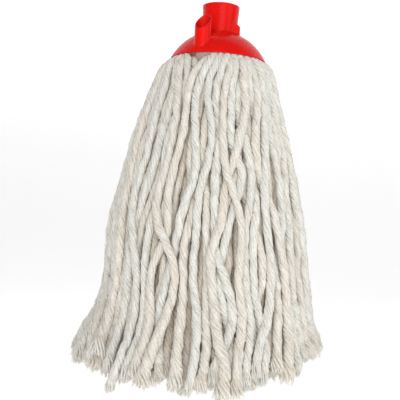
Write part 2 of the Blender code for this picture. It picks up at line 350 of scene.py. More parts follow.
LAYERS = (
    # name, yarns per sector, radius at the rim, press (sideways, outwards), depth when free, its spread,
    # points per ply
    ("outer", 3, 36.4 * MM, (0.86, 0.64), 0.0, 1.2 * MM, 6),
    ("middle", 4, 31.6 * MM, (0.58, 0.50), 1.0 * MM, 2.2 * MM, 4),
    ("inner", 6, 29.2 * MM, (0.40, 0.36), 8.0 * MM, 2.0 * MM, 4),
    ("core", 3, 29.2 * MM, (0.26, 0.36), 16.0 * MM, 3.0 * MM, 2),
)


def smooth_step(value):
    t = np.clip(value, 0.0, 1.0)
    return t * t * (3.0 - 2.0 * t)


def unit(vectors):
    return vectors / (np.linalg.norm(vectors, axis=-1, keepdims=True) + TINY)


def distances(points):
    """How far along a line each of its points is."""
    steps = np.linalg.norm(np.diff(points, axis=0), axis=1)
    return np.concatenate([[0.0], np.cumsum(steps)])


# Camera and stage


def add_camera():
    data = bpy.data.cameras.new("camera")
    data.lens = LENS
    data.sensor_width = SENSOR_WIDTH
    data.clip_end = SIGHT_LIMIT
    camera = bpy.data.objects.new("camera", data)
    camera.location = (CAMERA_SIDE, -AXIS_DISTANCE, CAMERA_HEIGHT)
    camera.rotation_euler = (math.pi / 2, -CAMERA_ROLL, 0.0)
    bpy.context.scene.collection.objects.link(camera)
    bpy.context.scene.camera = camera


def add_softbox(name, place, target, size, watts):
    data = bpy.data.lights.new(name, "AREA")
    data.shape = "RECTANGLE"
    data.size, data.size_y = size
    data.energy = watts
    light = bpy.data.objects.new(name, data)
    light.location = place
    aim = Vector(target) - Vector(place)
    light.rotation_euler = aim.to_track_quat("-Z", "Y").to_euler()
    bpy.context.scene.collection.objects.link(light)


def add_world(strength):
    world = bpy.data.worlds.new("studio")
    world.use_nodes = True
    background = world.node_tree.nodes["Background"]
    background.inputs["Color"].default_value = (1.0, 1.0, 1.0, 1.0)
    background.inputs["Strength"].default_value = strength
    bpy.context.scene.world = world


def add_stage():
    """A pale floor that sweeps up into a backdrop behind the mop."""
    outline = [(-STAGE_HALF, FLOOR_Z), (STAGE_BACK, FLOOR_Z)]
    for step in range(1, SWEEP_STEPS + 1):
        angle = 0.5 * math.pi * step / SWEEP_STEPS
        back = STAGE_BACK + SWEEP_RADIUS * math.sin(angle)
        outline.append((back, FLOOR_Z + SWEEP_RADIUS * (1 - math.cos(angle))))
    outline.append((STAGE_BACK + SWEEP_RADIUS, FLOOR_Z + STAGE_HALF))
    sweep = bmesh.new()
    rows = [[sweep.verts.new((x, y, z)) for x in (-STAGE_HALF, STAGE_HALF)] for y, z in outline]
    for near, far in zip(rows, rows[1:]):
        sweep.faces.new((near[0], near[1], far[1], far[0]))
    floor = from_bmesh("floor", sweep)
    floor.data.shade_smooth()
    floor.data.materials.append(floor_material())


# Materials


class Shader:
    """A Principled material and short ways to add nodes to it."""

    def __init__(self, name):
        self.material = bpy.data.materials.new(name)
        self.material.use_nodes = True
        self.tree = self.material.node_tree
        self.main = self.tree.nodes["Principled BSDF"]

    def node(self, kind, **settings):
        made = self.tree.nodes.new(kind)
        for name, value in settings.items():
            setattr(made, name, value)
        return made

    def object_place(self):
        return self.node("ShaderNodeTexCoord").outputs["Object"]

    def link(self, source, target):
        self.tree.links.new(source, target)

    def feed(self, value, target):
        """Gives an input its value: a socket to link, a colour or a number."""
        if isinstance(value, bpy.types.NodeSocket):
            self.link(value, target)
        else:
            target.default_value = (*value, 1.0) if isinstance(value, tuple) else value

    def attribute(self, name, output="Fac"):
        return self.node("ShaderNodeAttribute", attribute_name=name).outputs[output]

    def noise(self, vector, scale, detail=3.0, roughness=0.5):
        made = self.node("ShaderNodeTexNoise")
        made.inputs["Scale"].default_value = scale
        made.inputs["Detail"].default_value = detail
        made.inputs["Roughness"].default_value = roughness
        self.link(vector, made.inputs["Vector"])
        return made.outputs["Fac"]

    def stretched(self, vector, scale):
        made = self.node("ShaderNodeMapping")
        made.inputs["Scale"].default_value = scale
        self.link(vector, made.inputs["Vector"])
        return made.outputs["Vector"]

    def ramp(self, factor, stops):
        """Maps a factor to colours or greys; stops are two pairs (place, colour)."""
        made = self.node("ShaderNodeValToRGB")
        for element, (place, colour) in zip(made.color_ramp.elements, stops):
            element.position = place
            element.color = (*colour, 1.0)
        self.link(factor, made.inputs["Fac"])
        return made.outputs["Color"]

    def mix(self, factor, first, second, blend="MIX"):
        """first and second are sockets or colours; factor is a socket or a number."""
        made = self.node("ShaderNodeMix", data_type="RGBA", blend_type=blend)
        for value, number in ((factor, 0), (first, 6), (second, 7)):
            self.feed(value, made.inputs[number])
        return made.outputs[2]

    def times(self, factor, amount):
        made = self.node("ShaderNodeMath", operation="MULTIPLY")
        self.feed(factor, made.inputs[0])
        self.feed(amount, made.inputs[1])
        return made.outputs[0]

    def bump(self, height, distance, strength, after=None):
        made = self.node("ShaderNodeBump")
        made.inputs["Distance"].default_value = distance
        made.inputs["Strength"].default_value = strength
        self.link(height, made.inputs["Height"])
        if after is not None:
            self.link(after, made.inputs["Normal"])
        return made.outputs["Normal"]

    def set(self, **values):
        for name, value in values.items():
            self.feed(value, self.main.inputs[name.replace("_", " ")])
        return self.material


def floor_material():
    shader = Shader("pale_floor")
    return shader.set(
        Base_Color=grey(0.9),
        Roughness=0.8,
        Emission_Color=grey(1.0),
        Emission_Strength=0.5,
    )


def grey(value):
    return (value, value, value)


def red_plastic():
    """Injection-moulded plastic: even colour, faint flow marks, fine orange peel and light scuffs."""
    shader = Shader("cap_red_plastic")
    place = shader.object_place()
    flow = shader.noise(shader.stretched(place, (1.0, 1.0, 0.35)), FLOW_SCALE, 2.0)
    colour = shader.ramp(flow, [(0.3, (0.70, 0.006, 0.004)), (0.7, (0.80, 0.009, 0.006))])
    scuffs = shader.noise(shader.stretched(place, (1.0, 1.0, 4.0)), SCUFF_SCALE, 4.0, 0.7)
    roughness = shader.ramp(scuffs, [(0.35, grey(0.22)), (0.75, grey(0.34))])
    peel = shader.noise(place, PEEL_SCALE, 2.0)
    normal = shader.bump(peel, 0.05 * MM, 0.35)
    return shader.set(
        Base_Color=colour,
        Roughness=roughness,
        Normal=normal,
        Specular_IOR_Level=0.14,
    )


def white_plastic():
    """Satin white plastic of the retainer, with a painted pink cast for the red light the cap throws on it,
    and a faint painted glow.
    """
    shader = Shader("retainer_white_plastic")
    place = shader.object_place()
    haze = shader.noise(place, HAZE_SCALE, 3.0)
    # The pink cast is painted light, the red that the cap throws on the white plastic; the haze varies it
    # at random
    colour = shader.ramp(haze, [(0.3, (0.93, 0.83, 0.83)), (0.7, (0.97, 0.88, 0.88))])
    grain = shader.noise(place, GRAIN_SCALE, 2.0)
    roughness = shader.ramp(grain, [(0.3, grey(0.36)), (0.7, grey(0.48))])
    normal = shader.bump(grain, 0.04 * MM, 0.4)
    return shader.set(
        Base_Color=colour,
        Roughness=roughness,
        Normal=normal,
        # Painted glow: a faint pink light given off, though the retainer is no lamp
        Emission_Color=(1.0, 0.84, 0.84),
        Emission_Strength=0.16,
    )


def fibre_marks(shader, fibre, body, marks):
    """The cotton's colour with one kind of mark over it, and the noise that the marks come from."""
    stretch, scale, detail, roughness, start, darkest, end, strength = marks
    noise = shader.noise(shader.stretched(fibre, (1.0, 1.0, stretch)), scale, detail, roughness)
    tone = shader.ramp(noise, [(start, darkest), (end, grey(1.0))])
    return shader.mix(strength, body, tone, "MULTIPLY"), noise


def cotton(name, pale, warm, shade):
    """Twisted cotton: fine fibres along each ply, with painted shade that makes it browner in the grooves
    and inside the skirt.
    """
    shader = Shader(name)
    fibre = shader.attribute("fibre", "Vector")
    groove = shader.attribute("groove")
    inside = shader.attribute("inside")
    tint = shader.attribute("tint")
    patches = shader.noise(fibre, PATCH_SCALE, 2.0)
    body = shader.mix(shader.ramp(patches, [(0.35, grey(0.0)), (0.7, grey(1.0))]), pale, warm)
    body = shader.mix(shader.times(tint, TINT_STRENGTH), body, shade)
    body, streaks = fibre_marks(shader, fibre, body, STREAKS)
    body, _ = fibre_marks(shader, fibre, body, SLIVERS)
    body, _ = fibre_marks(shader, fibre, body, FLECKS)
    # Painted shade: browner in the grooves between plies and deeper inside the skirt
    body = shader.mix(shader.times(groove, SHADE_STRENGTH), body, GROOVE_SHADE, "MULTIPLY")
    body = shader.mix(shader.times(inside, SHADE_STRENGTH), body, INSIDE_SHADE, "MULTIPLY")
    roughness = shader.ramp(streaks, [(0.2, grey(0.98)), (0.8, grey(0.80))])
    fuzz = shader.noise(fibre, FUZZ_SCALE, 3.0)
    normal = shader.bump(fuzz, 0.12 * MM, 0.35, shader.bump(streaks, 0.22 * MM, 0.75))
    return shader.set(
        Base_Color=body,
        Roughness=roughness,
        Normal=normal,
        Specular_IOR_Level=0.2,
        Sheen_Weight=0.25,
        Sheen_Roughness=0.5,
    )


# Cap and retainer


def linked(name, mesh):
    made = bpy.data.objects.new(name, mesh)
    bpy.context.scene.collection.objects.link(made)
    return made


def from_bmesh(name, built):
    mesh = bpy.data.meshes.new(name)
    built.to_mesh(mesh)
    built.free()
    return linked(name, mesh)


def show(name, mesh, material):
    mesh.materials.clear()
    mesh.materials.append(material)
    return linked(name, mesh)


def sphere_arc(radius, start_radius, end_radius):
    """Points (r, z) on a sphere about the dome's centre, from one distance off the axis to another."""
    angles = np.linspace(math.asin(start_radius / radius), math.asin(end_radius / radius), ARC_STEPS)
    return [(radius * math.sin(a), DOME_CENTRE_Z + radius * math.cos(a)) for a in angles]


def rim_radius(sphere_radius):
    return math.sqrt(sphere_radius**2 - (RIM_Z - DOME_CENTRE_Z) ** 2)


def turned(name, outline, closed=False):
    """A solid turned about Z from points (r, z), listed top to bottom along its outer side."""
    mesh = bpy.data.meshes.new(name)
    count = len(outline)
    edges = [(i, i + 1) for i in range(count - 1)]
    if closed:
        edges.append((count - 1, 0))
    mesh.from_pydata([(r, 0.0, z) for r, z in outline], edges, [])
    made = linked(name, mesh)
    screw = made.modifiers.new("Turn", "SCREW")
    screw.steps = TURN_STEPS
    screw.render_steps = TURN_STEPS
    screw.use_merge_vertices = True
    screw.merge_threshold = TOLERANCE
    return made


def socket_and_dome():
    return turned(
        "socket_and_dome",
        [
            (0.0, 0.0),
            (MOUTH_RADIUS, 0.0),
            *sphere_arc(DOME_RADIUS, SOCKET_FOOT_RADIUS, rim_radius(DOME_RADIUS)),
            (0.0, RIM_Z),
        ],
    )


def dome_cavity():
    inner = DOME_RADIUS - DOME_WALL
    below = RIM_Z - CUT_CLEARANCE
    return turned(
        "dome_cavity",
        [
            *sphere_arc(inner, BOSS_RADIUS, rim_radius(inner)),
            (rim_radius(inner), below),
            (0.0, below),
            (0.0, BOSS_BOTTOM),
            (BOSS_RADIUS, BOSS_BOTTOM),
        ],
        closed=True,
    )


def handle_bore():
    chamfered = BORE_MOUTH_RADIUS + BORE_CHAMFER
    return turned(
        "handle_bore",
        [
            (0.0, CUT_CLEARANCE),
            (chamfered, CUT_CLEARANCE),
            (chamfered, 0.0),
            (BORE_MOUTH_RADIUS, -BORE_CHAMFER),
            (BORE_FLOOR_RADIUS, -BORE_DEPTH),
            (0.0, -BORE_DEPTH),
        ],
    )


def side_tube():
    """An open pipe whose top slants down away from the socket."""
    outward = TUBE_CENTRE.normalized()
    pipe = bmesh.new()
    sides = TURN_STEPS // 2
    bmesh.ops.create_cone(
        pipe, cap_ends=False, segments=sides, radius1=TUBE_RADIUS, radius2=TUBE_RADIUS, depth=1.0
    )
    for vert in pipe.verts:
        flat = Vector((vert.co.x, vert.co.y, 0.0))
        top = TUBE_MOUTH_Z - flat.dot(outward) * math.tan(TUBE_MOUTH_SLOPE)
        vert.co = TUBE_CENTRE + flat + Vector((0.0, 0.0, top if vert.co.z > 0 else TUBE_FOOT_Z))
    made = from_bmesh("side_tube", pipe)
    wall = made.modifiers.new("Wall", "SOLIDIFY")
    wall.thickness = TUBE_WALL
    wall.offset = -1.0
    wall.use_even_offset = True
    return made


def gusset(side):
    """A block against the socket whose top slopes down outwards; side is 1 for +X and -1 for -X."""
    block = bmesh.new()
    bmesh.ops.create_cube(block, size=2.0)
    for vert in block.verts:
        outer = vert.co.x > 0
        top = GUSSET_TOP_OUT if outer else GUSSET_TOP_IN
        x = GUSSET_OUT if outer else GUSSET_IN
        z = top if vert.co.z > 0 else GUSSET_BOTTOM
        vert.co = Vector((side * x, side * vert.co.y * GUSSET_HALF_WIDTH, z))
    return from_bmesh("gusset", block)


def handle_thread():
    """The helical rib inside the bore."""
    wall = BORE_FLOOR_RADIUS + THREAD_SUNK
    corners = (
        (wall, THREAD_ROOT_HALF),
        (wall, -THREAD_ROOT_HALF),
        (THREAD_CREST_RADIUS, -THREAD_CREST_HALF),
        (THREAD_CREST_RADIUS, THREAD_CREST_HALF),
    )
    rib = bmesh.new()
    rings = []
    steps = int(TURN_STEPS * THREAD_TURNS)
    for step in range(steps + 1):
        angle = 2 * math.pi * step / TURN_STEPS
        height = THREAD_TOP + THREAD_PITCH * (step / TURN_STEPS - THREAD_TURNS)
        ring = [(r * math.cos(angle), r * math.sin(angle), height + z) for r, z in corners]
        rings.append([rib.verts.new(point) for point in ring])
    for lower, upper in zip(rings, rings[1:]):
        for i in range(len(corners)):
            after = (i + 1) % len(corners)
            rib.faces.new((lower[i], upper[i], upper[after], lower[after]))
    rib.faces.new(rings[0])
    rib.faces.new(reversed(rings[-1]))
    bmesh.ops.recalc_face_normals(rib, faces=rib.faces)
    return from_bmesh("handle_thread", rib)


def evaluated_mesh(obj):
    graph = bpy.context.evaluated_depsgraph_get()
    return bpy.data.meshes.new_from_object(obj.evaluated_get(graph), depsgraph=graph)


def make_cap():
    """The one red moulding: joined, cut, then remeshed and eased so that every corner has its fillet."""
    cap = socket_and_dome()
    steps = [(side_tube(), "UNION"), (gusset(1), "UNION"), (gusset(-1), "UNION")]
    steps += [(dome_cavity(), "DIFFERENCE"), (handle_bore(), "DIFFERENCE"), (handle_thread(), "UNION")]
    for other, operation in steps:
        boolean = cap.modifiers.new(operation.title(), "BOOLEAN")
        boolean.operation = operation
        boolean.object = other
        boolean.solver = "EXACT"
    remesh = cap.modifiers.new("Remesh", "REMESH")
    remesh.mode = "VOXEL"
    remesh.voxel_size = VOXEL
    ease = cap.modifiers.new("Ease", "SMOOTH")
    ease.factor = SMOOTHING
    ease.iterations = SMOOTHING_PASSES
    mesh = evaluated_mesh(cap)
    for used in (cap, *(other for other, _ in steps)):
        bpy.data.objects.remove(used)
    mesh.shade_smooth()
    moulding = show("cap_moulding", mesh, red_plastic())
    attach(moulding, "cap")
    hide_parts("socket_cap")


def make_retainer():
    """The white cup inside the dome, with a sleeve round the boss and rounded corners."""
    floor_top = RETAINER_BOTTOM + RETAINER_WALL
    inner_radius = RETAINER_RADIUS - RETAINER_WALL
    sleeve = BOSS_RADIUS + SLEEVE_GAP
    outline = [
        (inner_radius, RETAINER_TOP),
        (RETAINER_RADIUS, RETAINER_TOP),
        (RETAINER_RADIUS, RETAINER_BOTTOM),
        (0.0, RETAINER_BOTTOM),
        (0.0, floor_top),
        (sleeve, floor_top),
        (sleeve, RETAINER_SLEEVE_TOP),
        (sleeve + RETAINER_WALL, RETAINER_SLEEVE_TOP),
        (sleeve + RETAINER_WALL, floor_top),
        (inner_radius, floor_top),
    ]
    cup = turned("yarn_insert", outline, closed=True)
    bevel = cup.modifiers.new("Bevel", "BEVEL")
    bevel.width = RETAINER_ROUNDING
    bevel.segments = CORNER_STEPS
    bevel.limit_method = "ANGLE"
    bevel.angle_limit = CORNER_ANGLE
    mesh = evaluated_mesh(cup)
    bpy.data.objects.remove(cup)
    mesh.shade_smooth()
    insert = show("retainer_insert", mesh, white_plastic())
    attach(insert, "cap")
    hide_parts("yarn_retainer")


# Routes of the yarns


def skirt_radius(z):
    """part.py's skirt: how far from the axis the middle of the outer yarns hangs at height z."""
    depth = np.maximum(0.0, SKIRT_TOP - z)
    flare = SKIRT_FLARE * (1.0 - np.exp(-depth / SKIRT_FLARE_DEPTH))
    return RIM_YARN_RADIUS + SKIRT_SLOPE * depth + flare


def swell(z, place):
    """A smooth swelling along z, given as (height, reach, amount)."""
    height, reach, amount = place
    return amount * np.exp(-(((z - height) / reach) ** 2))


def hanging_radius(z, azimuth):
    """How far from the axis the outer yarns hang, with the skirt's uneven fullness and spreading ends."""
    right = (0.5 + 0.5 * np.cos(azimuth)) ** FLARE_FOCUS
    left = (0.5 - 0.5 * np.cos(azimuth)) ** FLARE_FOCUS
    flare = FLARE_ALL + FLARE_RIGHT * right + FLARE_LEFT * left
    flare = flare * smooth_step((FLARE_TOP - z) / FLARE_LENGTH)
    left_side = left * (swell(z, LEFT_BULGE) + swell(z, LEFT_HOLLOW))
    uneven = swell(z, SHOULDER) + right * swell(z, RIGHT_HOLLOW) + left_side
    low = smooth_step((SKIRT_TOP - z) / LUMPS_REACH)
    lumps = LUMP * np.sin(2.0 * azimuth + LUMP_PHASE) + LUMP * np.sin(5.0 * azimuth + z / LUMP_LENGTH)
    return skirt_radius(z) + uneven + flare + low * lumps


def from_parting(azimuth):
    """The angle from the parting, positive towards the right, +X."""
    return (azimuth - PARTING_AZIMUTH + math.pi) % (2 * math.pi) - math.pi


def parting(azimuth, z, length):
    """Yarns near the parting start further from it, and are back in place that length lower down."""
    away = from_parting(azimuth)
    shift = np.sign(away) * PARTING_SHIFT * np.exp(-np.abs(away) / PARTING_REACH)
    return shift * (1.0 - smooth_step((PARTING_TOP - z) / length))


def waves(rng, z, count, wave):
    """A smooth random wander along z, one row per yarn; wave is (amplitude, shortest, longest)."""
    amplitude, shortest, longest = wave
    total = 0.0
    for _ in range(WAVES_ADDED):
        length = rng.uniform(shortest, longest, (count, 1))
        phase = rng.uniform(0.0, 2 * math.pi, (count, 1))
        total = total + np.sin(2 * math.pi * z / length + phase)
    return amplitude * total / WAVES_PEAK


def clumps(rng, azimuths):
    """A random shift that neighbouring yarns share, so that they gather into locks."""
    values = rng.normal(size=CLUMPS)
    places = np.linspace(0.0, 2 * math.pi, CLUMPS, endpoint=False)
    return np.interp(azimuths % (2 * math.pi), places, values, period=2 * math.pi)


def side_lift(azimuth):
    """The skirt ends higher at its two sides than at its front and back, most of all on the right, +X."""
    right = (0.5 + 0.5 * math.cos(azimuth)) ** SIDE_FOCUS
    left = (0.5 - 0.5 * math.cos(azimuth)) ** SIDE_FOCUS
    return RIGHT_SIDE_SHORTER * right + LEFT_SIDE_SHORTER * left


def yarn_end_z(number, azimuth, unevenness):
    """Uneven cut ends."""
    wave = math.sin(END_WAVE_FAST * number) * math.cos(END_WAVE_SLOW * number)
    return YARN_BOTTOM + side_lift(azimuth) + unevenness * wave


def plan_yarns(rng):
    """Each yarn's layer, sector and place; where two cross, the one of lower order passes outside."""
    keys = ("outer", "sector", "azimuth", "rim", "press", "depth", "end", "order", "points_per_ply")
    yarns = []
    for layer, (name, per_sector, rim, press, depth, spread, points_per_ply) in enumerate(LAYERS):
        count = SECTORS * per_sector
        outer = name == "outer"
        unevenness = YARN_UNEVENNESS * (1.0 if outer else INNER_UNEVENNESS)
        for i in range(count):
            azimuth = -math.pi / 2 + (i - (per_sector - 1) / 2) * 2 * math.pi / count
            end = yarn_end_z(len(yarns), azimuth, unevenness) + rng.normal() * END_SCATTER
            end += rng.uniform(*SHORT_BY) if name == "middle" and rng.uniform() < SHORT_SHARE else 0.0
            own_depth = depth + rng.normal() * spread
            order = layer + rng.uniform()
            sector = i // per_sector
            yarns.append((outer, sector, azimuth, rim, press, own_depth, end, order, points_per_ply))
    plan = {key: np.array(values) for key, values in zip(keys, zip(*yarns))}
    plan["stray"] = (rng.uniform(size=len(plan["end"])) < STRAY_SHARE) & (plan["order"] < LIVELY_LAYERS)
    plan["order"] = np.where(plan["stray"], plan["order"] - LIVELY_LAYERS, plan["order"])
    return plan


def wander(plan, z, rng):
    """How far each yarn strays sideways and outwards from its place."""
    count = len(plan["end"])
    freedom = smooth_step((SKIRT_TOP - FREE_BELOW - z) / FREE_LENGTH)
    liveliness = np.where(plan["order"] > LIVELY_LAYERS, INNER_LIVELINESS, 1.0)
    drift = rng.normal(size=count) * liveliness * DRIFT
    drift = np.where(plan["stray"], np.sign(drift) * rng.uniform(*STRAY_DRIFT, count), drift)
    drift += CLUMPING * clumps(rng, plan["azimuth"]) * plan["outer"]
    side = drift[:, None] * smooth_step((DRIFT_TOP - z) / DRIFT_LENGTH)
    away = from_parting(plan["azimuth"])
    fan = PARTING_FAN * np.sign(away) * np.exp(-((away / PARTING_FAN_REACH) ** 2)) * plan["outer"]
    side = side + fan[:, None] * smooth_step((SKIRT_TOP - z) / PARTING_FAN_LENGTH)
    for wave in SIDE_WAVES:
        side = side + freedom * waves(rng, z, count, wave) * liveliness[:, None]
    bulge = freedom * waves(rng, z, count, DEPTH_WAVES)
    bulge = bulge + freedom * np.where(plan["stray"], STRAY_PROUD, 0.0)[:, None]
    return side, bulge


def wanted_places(plan, z, rng):
    """Where each yarn would hang if alone: x, y and distance from the axis, as (yarn, level) arrays."""
    side, bulge = wander(plan, z, rng)
    outer = plan["outer"][:, None]
    azimuth = plan["azimuth"][:, None]
    base = azimuth + parting(azimuth, z, np.where(outer, PARTING_LENGTH, INNER_PARTING_LENGTH))
    rim_depth = (RIM_YARN_RADIUS - plan["rim"])[:, None]
    rise = smooth_step((SKIRT_TOP - z) / LAYERS_OPEN)
    bend = smooth_step((RIM_Z - z) / RIM_BEND)
    depth = rim_depth * (1.0 - rise) + plan["depth"][:, None] * rise
    depth = depth * np.where(outer, 1.0 - bend, 1.0)
    clamp_slope = np.where(outer, OUTER_CLAMP_SLOPE, INNER_CLAMP_SLOPE)
    inside_dome = np.maximum(0.0, z - (RIM_Z - CLAMP_MARGIN)) * clamp_slope
    radius = hanging_radius(z, base) - depth + bulge - inside_dome
    angle = base + side / np.maximum(radius, SMALLEST_RADIUS)
    return radius * np.cos(angle), radius * np.sin(angle), radius


def bending_filter(levels):
    """A matrix that irons kinks out of values given at successive levels."""
    bends = np.diff(np.eye(levels), n=2, axis=0)
    return np.linalg.inv(np.eye(levels) + STIFFNESS * bends.T @ bends)


def settle(plan, z, x, y, reach):
    """Moves yarns off each other at every level, while each stays smooth and near where it would hang.

    Where two cross, the order of the yarns says which passes outside the other.
    """
    wanted_x, wanted_y = x.copy(), y.copy()
    away = plan["azimuth"][:, None] - plan["azimuth"][None, :]
    near = np.abs((away + math.pi) % (2 * math.pi) - math.pi) < NEIGHBOUR_ANGLE
    first, second = np.nonzero(np.triu(near, 1))
    pairs = np.arange(len(first))
    gather = np.zeros((len(x), len(first)))
    gather[first, pairs] = 1.0
    gather[second, pairs] = -1.0
    lap = LAP * np.sign(plan["order"][second] - plan["order"][first])[:, None]
    contact = 0.5 * (reach[first] + reach[second])
    moving = smooth_step((RIM_Z - HELD_BELOW_RIM - z) / LET_GO_LENGTH)
    slack = np.where(plan["stray"], STRAY_PROUD, SURFACE_SLACK)[:, None]
    iron = bending_filter(len(z))
    for sweep in range(SWEEPS + IRONING_SWEEPS):
        if sweep < SWEEPS:
            dx, dy = x[first] - x[second], y[first] - y[second]
            out_x, out_y = x[first] + x[second], y[first] + y[second]
            out = np.hypot(out_x, out_y)
            push_x, push_y = dx + lap * out_x / out, dy + lap * out_y / out
            overlap = np.maximum(0.0, contact - np.hypot(dx, dy))
            share = 0.5 * overlap / (np.hypot(push_x, push_y) + TOLERANCE)
            for values, wanted, push in ((x, wanted_x, push_x), (y, wanted_y, push_y)):
                values += moving * np.clip(gather @ (share * push), -LARGEST_PUSH, LARGEST_PUSH)
                values += moving * HOMING * (wanted - values)
        for values in (x, y):
            values += moving * (values @ iron - values)
        held = np.minimum(1.0, (hanging_radius(z, np.arctan2(y, x)) + slack) / np.hypot(x, y))
        held = np.where(moving > 0, held, 1.0)
        x *= held
        y *= held


def loosening(z, outer):
    """How much thicker a yarn is at height z than where it leaves the cap."""
    most = np.where(outer, OUTER_LOOSENING, INNER_LOOSENING)
    return 1.0 + most * smooth_step((LOOSE_TOP - z) / LOOSE_LENGTH)


def lay_out(rng):
    """The plan of all yarns, with their routes: positions x and y (yarn, level) and the clamp's press."""
    z = CLAMP_TOP - LEVEL_STEP * np.arange(LEVELS)
    plan = plan_yarns(rng)
    x, y, radius = wanted_places(plan, z, rng)
    free = smooth_step((CLAMP_FREE + CLAMP_LENGTH - z) / CLAMP_LENGTH)
    press_side = plan["press"][:, 0:1] * (1.0 - free) + free
    press_out = plan["press"][:, 1:2] * (1.0 - free) + free
    slope = np.gradient(radius, -z, axis=1)
    thickness = 2 * YARN_RADIUS * CONTACT * loosening(z, plan["outer"][:, None])
    settle(plan, z, x, y, thickness * press_side * np.sqrt(1.0 + SLOPE_SHARE * slope**2))
    return {**plan, "z": z, "x": x, "y": y, "press_side": press_side, "press_out": press_out}


def finer(values, steps):
    """Catmull-Rom values between the rows of an array."""
    padded = np.concatenate([2 * values[:1] - values[1:2], values, 2 * values[-1:] - values[-2:-1]])
    before, start, stop, after = padded[:-3], padded[1:-2], padded[2:-1], padded[3:]
    made = []
    for k in range(steps):
        t = k / steps
        linear = (stop - before) * t
        square = (2 * before - 5 * start + 4 * stop - after) * t**2
        cube = (3 * start - before - 3 * stop + after) * t**3
        made.append(0.5 * (2 * start + linear + square + cube))
    mixed = np.stack(made, axis=1).reshape(-1, *values.shape[1:])
    return np.concatenate([mixed, values[-1:]])


def fine_rows(layout, index):
    """Points down one yarn, closely spaced, with how far the clamp presses it sideways and outwards."""
    x, y, press_side, press_out = (layout[key][index] for key in ("x", "y", "press_side", "press_out"))
    return finer(np.stack([x, y, layout["z"], press_side, press_out], axis=1), FINE_STEPS)


def route_of(layout, index):
    """A hanging yarn's points, from inside the dome to its cut end."""
    rows = fine_rows(layout, index)
    return rows[(rows[:, 2] <= YARN_START + TOLERANCE) & (rows[:, 2] >= layout["end"][index])]


# Spinning a yarn


class MeshParts:
    """Collects vertices, faces and their attributes, and turns them into one object."""

    def __init__(self):
        self.points, self.faces, self.count = [], [], 0
        self.values = {"groove": [], "inside": [], "tint": [], "fibre": []}

    def add(self, points, faces, groove, inside, tint, fibre):
        amount = len(points)
        self.points.append(points)
        if faces is not None:
            self.faces.extend((faces + self.count).tolist())
        self.count += amount
        for key, value in (("groove", groove), ("inside", inside), ("tint", tint)):
            self.values[key].append(np.broadcast_to(value, amount))
        self.values["fibre"].append(np.broadcast_to(fibre, (amount, 3)))

    def build(self, name, material):
        mesh = bpy.data.meshes.new(name)
        mesh.from_pydata(np.concatenate(self.points), [], self.faces)
        for key in ("groove", "inside", "tint"):
            attribute = mesh.attributes.new(key, "FLOAT", "POINT")
            attribute.data.foreach_set("value", np.concatenate(self.values[key]).astype(np.float32))
        attribute = mesh.attributes.new("fibre", "FLOAT_VECTOR", "POINT")
        fibre = np.concatenate(self.values["fibre"]).astype(np.float32)
        attribute.data.foreach_set("vector", fibre.ravel())
        mesh.shade_smooth()
        return show(name, mesh, material)


def tube_faces(rings, sides):
    """Quads round a tube, as an array of vertex numbers."""
    ring = np.arange(rings - 1)[:, None] * sides
    side = np.arange(sides)[None, :]
    after = (side + 1) % sides
    quads = [ring + side, ring + sides + side, ring + sides + after, ring + after]
    return np.stack(quads, axis=2).reshape(-1, 4)


def add_tube(parts, centres, radii, sides, inside, tint, offset):
    """A thin round strand along a line; inside and tint are numbers, or one for each ring."""
    tangents = unit(np.gradient(centres, axis=0))
    across = unit(np.cross(tangents, STRAND_ACROSS))
    upright = np.cross(tangents, across)
    angles = 2 * math.pi * np.arange(sides) / sides
    ring = across[:, None, :] * np.cos(angles)[:, None] + upright[:, None, :] * np.sin(angles)[:, None]
    points = centres[:, None, :] + ring * radii[:, None, None]
    fibre = np.empty_like(points)
    fibre[:, :, 0] = np.cos(angles) * radii[:, None]
    fibre[:, :, 1] = np.sin(angles) * radii[:, None]
    fibre[:, :, 2] = distances(centres)[:, None]
    parts.add(
        points.reshape(-1, 3),
        tube_faces(len(centres), sides),
        0.0,
        inside if np.isscalar(inside) else np.repeat(inside, sides),
        tint if np.isscalar(tint) else np.repeat(tint, sides),
        fibre.reshape(-1, 3) + offset,
    )


def yarn_frames(points):
    """Down, sideways and outward directions along a yarn."""
    down = unit(np.gradient(points, axis=0))
    outward = points * (1.0, 1.0, 0.0)
    outward = unit(outward - down * (outward * down).sum(1)[:, None])
    return down, np.cross(down, outward), outward


def ripple(along, wave, phase=0.0):
    """A wave, given as (amplitude, length of one radian), at each distance along a yarn."""
    amplitude, length = wave
    return amplitude * np.sin(along / length + phase)


def ply_waves(rng, along):
    """How much each ply stands proud or shrinks along the yarn, one row per ply."""
    own = PLY_VARIETY * rng.normal(size=PLIES)[:, None]
    length = rng.uniform(*PLY_WAVE_LENGTHS, (PLIES, 1))
    return own + PLY_WAVE * np.sin(along / length + rng.uniform(0, 2 * math.pi, (PLIES, 1)))


